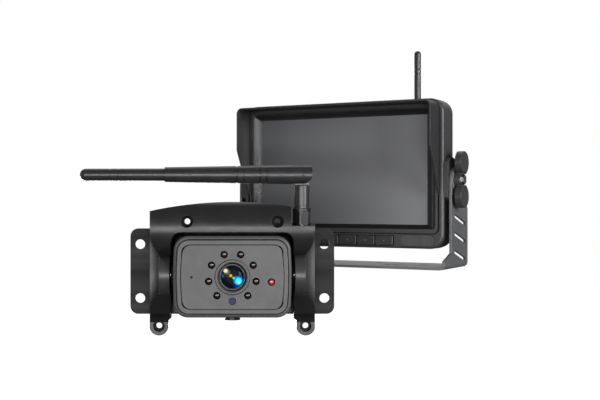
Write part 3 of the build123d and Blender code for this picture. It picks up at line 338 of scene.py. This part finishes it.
def gloss_plastic(name, colour, rough, coat=0.0, specular=0.5):
    """Smooth plastic or epoxy with faint flow marks and dust, painted shade in gaps, and a clear
    coat where asked.
    """
    material, tree, shader = new_material(name)
    point = object_point(tree)
    flow = noise(tree, stretch(tree, point, (1.0, 1.0, 0.35)), 120.0, 4.0)
    dark = tuple(c * 0.85 for c in colour)
    pale = tuple(c * 1.15 for c in colour)
    base = blend_colour(tree, remap(tree, flow, 0.3, 0.7, 0.0, 1.0), dark, pale)
    # painted shade in gaps
    feed(tree, shader, "Base Color", painted_gap_shade(tree, base, 0.003, 0.3))
    dust = noise(tree, point, 900.0, 4.0, 0.7)
    feed(tree, shader, "Roughness", remap(tree, dust, 0.4, 0.75, rough, rough + 0.12))
    shader.inputs["Coat Weight"].default_value = coat
    shader.inputs["Specular IOR Level"].default_value = specular
    feed(tree, shader, "Normal", bump(tree, flow, 0.00001, 1.0, soft_edges(tree, 0.0002)))
    return material


def glass_with_painted_reflections(name):
    """Front lens: near-black glass with painted reflections in blue, cyan, amber and white, in
    place of its coatings' reflections.
    """
    material, tree, shader = new_material(name)
    point = object_point(tree)
    flat = (1.0, 0.0, 1.0)
    cloud = remap(tree, noise(tree, point, 180.0), 0.3, 0.7, 0.0, 1.0)
    base = blend_colour(tree, cloud, (0.003, 0.003, 0.004), (0.008, 0.009, 0.011))
    # painted reflection: a dark blue ring at the rim of the lens
    rim = spot(tree, point, (0.0, LENS_FRONT_Y, 0.0), 0.0066, 0.14, flat)
    base = blend_colour(tree, rim, (0.001, 0.006, 0.022), base)
    # each painted reflection: its place (x, z), reach, softness and colour
    painted_reflections = [((0.0, 0.0), 0.0047, 0.25, (0.012, 0.013, 0.015)),
             ((0.0058, -0.0031), 0.0028, 0.5, (0.0, 0.05, 0.42)),
             ((0.0030, -0.0062), 0.0020, 0.6, (0.0, 0.02, 0.20)),
             ((0.0041, -0.0026), 0.0026, 0.4, (0.0, 0.4, 1.0)),
             ((0.0044, -0.0030), 0.0017, 0.6, (0.05, 0.9, 1.0)),
             ((0.0048, -0.0036), 0.0006, 0.7, (0.8, 1.0, 1.0)),
             ((-0.0067, 0.0008), 0.0011, 0.7, (0.03, 0.09, 0.15)),
             ((-0.0036, 0.0036), 0.0015, 0.7, (0.16, 0.17, 0.09)),
             ((-0.0048, 0.0044), 0.0012, 0.6, (0.95, 0.85, 0.5)),
             ((-0.0011, 0.0011), 0.0008, 0.5, (0.9, 0.42, 0.05)),
             ((0.0010, -0.0006), 0.0008, 0.4, (0.0, 0.75, 1.0))]
    for (x, z), reach, edge, reflection_colour in painted_reflections:
        reflection_spot = spot(tree, point, (x, LENS_FRONT_Y, z), reach, edge, flat)
        base = blend_colour(tree, reflection_spot, base, reflection_colour)
    feed(tree, shader, "Base Color", base)
    feed(tree, shader, "Roughness", remap(tree, noise(tree, point, 700.0), 0.4, 0.7, 0.04, 0.08))
    shader.inputs["Specular IOR Level"].default_value = 0.03
    feed(tree, shader, "Normal", bump(tree, noise(tree, point, 90.0), 0.000002))
    return material


def circuit_board(name):
    """Green board: solder mask with faint tracks and pads."""
    material, tree, shader = new_material(name)
    point = object_point(tree)
    brick = tree.nodes.new("ShaderNodeTexBrick")
    brick.inputs["Scale"].default_value = 260.0
    brick.inputs["Mortar Size"].default_value = 0.04
    brick.inputs["Color1"].default_value = (0.012, 0.09, 0.04, 1)
    brick.inputs["Color2"].default_value = (0.016, 0.12, 0.05, 1)
    brick.inputs["Mortar"].default_value = (0.05, 0.22, 0.1, 1)
    tree.links.new(stretch(tree, point, (1.0, 0.0, 1.0)), brick.inputs["Vector"])
    feed(tree, shader, "Base Color", brick.outputs["Color"])
    feed(tree, shader, "Roughness", remap(tree, noise(tree, point, 500.0), 0.3, 0.7, 0.3, 0.45))
    feed(tree, shader, "Normal", bump(tree, brick.outputs["Fac"], 0.00003))
    return material


def screen_surface(name):
    """Anti-glare screen: near-black panel under a fine matt film, with painted light making it
    paler to one side.
    """
    material, tree, shader = new_material(name)
    point = object_point(tree)
    low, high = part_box("screen_cover")
    split = tree.nodes.new("ShaderNodeSeparateXYZ")
    tree.links.new(point, split.inputs[0])
    # painted light: the screen grows paler towards +x
    painted_light_ramp = remap(tree, split.outputs["X"], low[0], high[0], 0.0, 1.0)
    base = blend_colour(tree, painted_light_ramp, (0.075, 0.077, 0.081), (0.165, 0.167, 0.176))
    cells = noise(tree, point, 5200.0, 1.0)
    feed(tree, shader, "Base Color", base)
    feed(tree, shader, "Roughness", remap(tree, cells, 0.3, 0.7, 0.46, 0.56))
    shader.inputs["Specular IOR Level"].default_value = 0.45
    feed(tree, shader, "Normal", bump(tree, cells, 0.000004))
    return material


MATERIALS = {
    "plate_steel": brushed_plate("plate_steel", (0.006, 0.006, 0.0063), 0.46, (0.006, 1.0, 1.0),
                                 0.15),
    "zinc_screw": turned_metal("zinc_screw", (0.55, 0.55, 0.57), 0.32),
    "housing_plastic": moulded_plastic("housing_plastic", (0.013, 0.013, 0.0135), 0.34,
                                       specular=0.42, shade_reach=0.012),
    "seal_rubber": soft_rubber("seal_rubber", (0.02, 0.02, 0.02), 0.7),
    "pivot_plastic": moulded_plastic("pivot_plastic", (0.03, 0.03, 0.031), 0.36),
    "circuit_board": circuit_board("circuit_board"),
    "brass_jack": turned_metal("brass_jack", (0.72, 0.52, 0.22), 0.28),
    "nut_plastic": gloss_plastic("nut_plastic", (0.01, 0.01, 0.011), 0.28, specular=0.32),
    "module_plastic": moulded_plastic("module_plastic", (0.055, 0.055, 0.056), 0.42, shade_reach=0.012),
    "face_plastic": moulded_plastic("face_plastic", (0.056, 0.056, 0.057), 0.5, 1900.0, 0.00004,
                                    1.3, shade_reach=0.0012),
    "lens_trim": gloss_plastic("lens_trim", (0.02, 0.02, 0.021), 0.4),
    "lens_glass": glass_with_painted_reflections("lens_glass"),
    "ir_led": gloss_plastic("ir_led", (0.014, 0.01, 0.01), 0.25, 0.2),
    "sensor_blue": gloss_plastic("sensor_blue", (0.022, 0.033, 0.08), 0.55, specular=0.15),
    "status_red": gloss_plastic("status_red", (0.36, 0.03, 0.032), 0.22, 0.4),
    "antenna_rubber": soft_rubber("antenna_rubber", (0.017, 0.017, 0.018), 0.33),
    "antenna_metal": turned_metal("antenna_metal", (0.05, 0.05, 0.052), 0.45),
    "bracket_paint": powder_coat("bracket_paint", (0.15, 0.152, 0.158), 0.36),
    "washer_nylon": gloss_plastic("washer_nylon", (0.2, 0.2, 0.19), 0.45),
    "case_plastic": moulded_plastic("case_plastic", (0.036, 0.0365, 0.038), 0.38, 1100.0, 0.00003,
                                    1.6, shade_reach=0.014),
    "screen_panel": gloss_plastic("screen_panel", (0.01, 0.01, 0.011), 0.2),
    "screen_cover": screen_surface("screen_cover"),
    "remote_window": gloss_plastic("remote_window", (0.05, 0.05, 0.053), 0.4),
    "sunshade_plastic": moulded_plastic("sunshade_plastic", (0.024, 0.0245, 0.026), 0.36, 1300.0,
                                        shade_reach=0.004),
    "knob_plastic": moulded_plastic("knob_plastic", (0.038, 0.038, 0.039), 0.34, 1500.0,
                                    shade_reach=0.004),
    "stud_steel": turned_metal("stud_steel", (0.6, 0.6, 0.62), 0.25),
    "button_rubber": soft_rubber("button_rubber", (0.022, 0.022, 0.023), 0.45),
    "socket_plastic": gloss_plastic("socket_plastic", (0.015, 0.015, 0.016), 0.35),
}


def dress_nodes():
    """Gives every CAD node the material of its slot."""
    for part in frame["record"]["subparts"]:
        piece = nodes[part["node"]]
        material = MATERIALS[part["material_slot"]]
        if not piece.material_slots:
            piece.data.materials.append(material)
        for slot in piece.material_slots:
            slot.material = material


dress_nodes()


# ---- finer pieces ----
def highlight_and_mark_finish(name, colour, rough):
    """Speckled finish of a painted highlight on a light, or of a button's mark."""
    material, tree, shader = new_material(name)
    point = object_point(tree)
    speck = remap(tree, noise(tree, point, 1500.0, 3.0), 0.3, 0.7, 0.0, 1.0)
    dark = tuple(c * 0.8 for c in colour)
    pale = tuple(min(1.0, c * 1.15) for c in colour)
    base = blend_colour(tree, speck, dark, pale)
    feed(tree, shader, "Base Color", base)
    haze = noise(tree, point, 600.0)
    feed(tree, shader, "Roughness", remap(tree, haze, 0.3, 0.7, rough - 0.05, rough + 0.08))
    return material


def finish_mesh(form, name, material, body, place=None):
    """Turns a bmesh into a smooth piece that rides on a body."""
    bmesh.ops.recalc_face_normals(form, faces=form.faces)
    mesh = bpy.data.meshes.new(name)
    form.to_mesh(mesh)
    form.free()
    if place is not None:
        mesh.transform(place)
    for face in mesh.polygons:
        face.use_smooth = True
    mesh.set_sharp_from_angle(angle=math.radians(38))
    mesh.materials.append(material)
    piece = bpy.data.objects.new(name, mesh)
    bpy.context.scene.collection.objects.link(piece)
    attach(piece, body)
    return piece


def ring_piece(name, profile, material, body, notches, steps=96):
    """A ring round the lens axis, lathed from (radius, y) points in mm, with spanner notches."""
    form = bmesh.new()
    front = min(y for radius, y in profile)
    rows = []
    for step in range(steps):
        turn = 2 * math.pi * step / steps
        notched = (step * notches) % steps < NOTCH_STEPS * notches
        row = []
        for radius, y in profile:
            depth = y + (NOTCH_DEPTH if notched and y == front else 0.0)
            reach = radius * MM
            row.append(form.verts.new((reach * math.cos(turn), depth * MM, reach * math.sin(turn))))
        rows.append(row)
    count = len(profile)
    for step in range(steps):
        here, there = rows[step], rows[(step + 1) % steps]
        for i in range(count):
            form.faces.new((here[i], here[(i + 1) % count], there[(i + 1) % count], there[i]))
    return finish_mesh(form, name, material, body)


def led_centres():
    """The eight lights round the lens, in mm."""
    places = []
    for degrees in LED_DEGREES:
        turn = math.radians(degrees)
        places.append((LED_CIRCLE * math.sin(turn), LED_CIRCLE * math.cos(turn)))
    return places


def led_highlight_piece(name, place, material):
    """A painted highlight on the nose of a light: a low pale oval dome."""
    form = bmesh.new()
    bmesh.ops.create_uvsphere(form, u_segments=24, v_segments=12, radius=1.0)
    flatten = Matrix.Diagonal([half * MM for half in HIGHLIGHT_HALF_SIZE] + [1.0])
    bmesh.ops.transform(form, matrix=flatten, verts=form.verts)
    move = Matrix.Translation([value * MM for value in place])
    finish_mesh(form, name, material, "camera_module", move)


def mark_points(kind):
    """Outline of a button's mark in mm: a bar, or a small triangle up or down."""
    if kind == "bar":
        points = []
        for end in (1, -1):
            for i in range(9):
                turn = math.pi * (i / 8 - 0.5)
                points.append((end * (1.2 + 0.32 * math.cos(turn)), end * 0.32 * math.sin(turn)))
        return points
    way = 1 if kind == "up" else -1
    return [(-0.95, -0.6 * way), (0.95, -0.6 * way), (0.0, 0.9 * way)]


def mark_piece(index, kind, material):
    """A thin raised mark on a button, with a bevelled edge."""
    x = (index - (len(BUTTON_MARKS) - 1) / 2) * BUTTON_PITCH
    form = bmesh.new()
    low = [form.verts.new(((x + a) * MM, BUTTON_FRONT_Y * MM, (BUTTON_MIDDLE_Z + b) * MM))
           for a, b in mark_points(kind)]
    face = form.faces.new(low)
    raised = bmesh.ops.extrude_face_region(form, geom=[face])
    top = [v for v in raised["geom"] if isinstance(v, bmesh.types.BMVert)]
    bmesh.ops.translate(form, verts=top, vec=(0.0, -MARK_HEIGHT * MM, 0.0))
    rim = [e for e in form.edges if all(v in top for v in e.verts)]
    bmesh.ops.bevel(form, geom=rim, offset=MARK_EDGE * MM, segments=2, affect="EDGES")
    body = "push_button_" + str(index + 1)
    finish_mesh(form, "button_mark_" + str(index + 1), material, body, MONITOR)


def window_loop(form, along, grow):
    """Outline of the screen window: along is 0 at its mouth and 1 at the screen."""
    ends = zip(WINDOW_MOUTH, WINDOW_SCREEN)
    half_x, top, bottom, y, radius = [a + (b - a) * along for a, b in ends]
    reach = radius + grow
    loop = []
    for quarter, x, z in ((0, 1, 1), (1, -1, 1), (2, -1, -1), (3, 1, -1)):
        centre_x = x * (half_x - radius)
        centre_z = (top - radius) if z > 0 else (bottom + radius)
        for step in range(7):
            turn = math.radians(90.0 * quarter + 15.0 * step)
            point = (centre_x + reach * math.cos(turn), y, centre_z + reach * math.sin(turn))
            loop.append(form.verts.new([value * MM for value in point]))
    return loop


def add_window_shade_sheet():
    """Thin satin near-black sheet on the sloped walls round the screen: painted shade on them."""
    form = bmesh.new()
    depths = (0.01, 0.45, 0.9)
    loops = [window_loop(form, along, -LINING_PROUD) for along in depths]
    loops += [window_loop(form, along, LINING_SUNK) for along in reversed(depths)]
    count = len(loops[0])
    for here, there in zip(loops, loops[1:] + loops[:1]):
        for i in range(count):
            form.faces.new((here[i], here[(i + 1) % count], there[(i + 1) % count], there[i]))
    # near-black finish that paints shade on the walls round the screen
    lining = moulded_plastic("shade_sheet_plastic", (0.007, 0.007, 0.0075), 0.32, 1500.0, 0.00002, 1.3,
                             shade_reach=0.003)
    finish_mesh(form, "window_shade_sheet", lining, "monitor_head", MONITOR)


def add_fine_pieces():
    """Lens ring with notches, painted highlights on the lights and marks on the buttons."""
    ring_piece("lens_retainer", RETAINER_PROFILE, MATERIALS["lens_trim"], "camera_module",
               notches=2)
    # pale domes on the lights: painted highlights
    led_highlight_finish = highlight_and_mark_finish("infrared_highlight_finish", (0.27, 0.185, 0.18), 0.4)
    for number, (x, z) in enumerate(led_centres(), 1):
        place = (x + LED_HIGHLIGHT_SHIFT[0], LED_HIGHLIGHT_Y, z + LED_HIGHLIGHT_SHIFT[1])
        led_highlight_piece("ir_led_highlight_" + str(number), place, led_highlight_finish)
    status_highlight_finish = highlight_and_mark_finish("status_highlight_finish", (0.75, 0.4, 0.38), 0.3)
    led_highlight_piece("status_led_highlight", STATUS_HIGHLIGHT_PLACE, status_highlight_finish)
    paint = highlight_and_mark_finish("mark_paint", (0.1, 0.1, 0.105), 0.5)
    for index, kind in enumerate(BUTTON_MARKS):
        mark_piece(index, kind, paint)


add_fine_pieces()
add_window_shade_sheet()


# ---- stage, light and camera ----
FLOOR_Z = -0.30
FLOOR_HALF = 3.0
CAMERA_PLACE = (0.0, -0.793, 0.0541)
CAMERA_LENS = 62.4
CAMERA_SENSOR = 36.0
CAMERA_SHIFT_X = 0.1128

# each light: name, place, the point it faces, width, height and power
LIGHTS = [("front_strip", (-0.15, -1.6, -0.05), (0.03, 0.0, 0.02), 1.6, 0.24, 21.0),
          ("top_sheet", (0.0, 0.5, 0.9), (0.05, 0.05, 0.0), 1.6, 0.5, 4.2),
          ("back_sheet", (0.1, 1.5, 0.45), (0.05, 0.0, 0.0), 2.2, 0.7, 3.0),
          ("rear_fill", (-0.35, 1.3, -0.16), (0.05, 0.0, 0.02), 1.2, 0.24, 20.0),
          ("left_sheet", (-1.2, 0.0, 0.2), (0.0, 0.0, 0.05), 0.3, 0.9, 1.6),
          ("right_sheet", (1.1, -1.05, 0.4), (0.1, 0.05, 0.08), 0.4, 0.6, 23.0)]


def make_floor():
    """Plain pale floor, well below the floating kit."""
    material, tree, shader = new_material("floor_paint")
    point = object_point(tree)
    shade = remap(tree, noise(tree, point, 3.0), 0.3, 0.7, 0.0, 1.0)
    pale = blend_colour(tree, shade, (0.86, 0.86, 0.86), (0.9, 0.9, 0.9))
    feed(tree, shader, "Base Color", pale)
    shader.inputs["Roughness"].default_value = 0.9
    shader.inputs["Emission Color"].default_value = (1.0, 1.0, 1.0, 1.0)
    shader.inputs["Emission Strength"].default_value = 1.0
    mesh = bpy.data.meshes.new("floor")
    form = bmesh.new()
    corners = [form.verts.new((x * FLOOR_HALF, y * FLOOR_HALF, FLOOR_Z))
               for x, y in ((-1, -1), (1, -1), (1, 1), (-1, 1))]
    form.faces.new(corners)
    form.to_mesh(mesh)
    form.free()
    floor = bpy.data.objects.new("floor", mesh)
    bpy.context.scene.collection.objects.link(floor)
    mesh.materials.append(material)
    floor.visible_glossy = False
    floor.visible_diffuse = False


def area_light(name, place, target, width, height, power):
    """A soft rectangular light aimed at a point."""
    data = bpy.data.lights.new(name, "AREA")
    data.shape = "RECTANGLE"
    data.size = width
    data.size_y = height
    data.energy = power
    light = bpy.data.objects.new(name, data)
    light.location = place
    aim = Vector(target) - Vector(place)
    light.rotation_euler = aim.to_track_quat("-Z", "Y").to_euler()
    bpy.context.scene.collection.objects.link(light)


def make_world():
    world = bpy.data.worlds.new("studio")
    world.use_nodes = True
    tree = world.node_tree
    back = tree.nodes["Background"]
    back.inputs["Color"].default_value = (0.9, 0.9, 0.92, 1)
    back.inputs["Strength"].default_value = 0.1
    seen = tree.nodes.new("ShaderNodeBackground")
    seen.inputs["Color"].default_value = (1, 1, 1, 1)
    seen.inputs["Strength"].default_value = 1.0
    path = tree.nodes.new("ShaderNodeLightPath")
    mix = tree.nodes.new("ShaderNodeMixShader")
    tree.links.new(path.outputs["Is Camera Ray"], mix.inputs[0])
    tree.links.new(back.outputs[0], mix.inputs[1])
    tree.links.new(seen.outputs[0], mix.inputs[2])
    tree.links.new(mix.outputs[0], tree.nodes["World Output"].inputs["Surface"])
    bpy.context.scene.world = world


def make_camera():
    """The photographer's place: level, straight in front of the lens, framed off-centre."""
    data = bpy.data.cameras.new("camera")
    data.sensor_width = CAMERA_SENSOR
    data.lens = CAMERA_LENS
    data.shift_x = CAMERA_SHIFT_X
    data.clip_start = 0.05
    camera = bpy.data.objects.new("camera", data)
    camera.location = CAMERA_PLACE
    camera.rotation_euler = (math.radians(90.0), 0.0, 0.0)
    bpy.context.scene.collection.objects.link(camera)
    bpy.context.scene.camera = camera


bpy.context.scene.view_settings.view_transform = "Standard"
make_floor()
make_world()
make_camera()
for light_row in LIGHTS:
    area_light(*light_row)
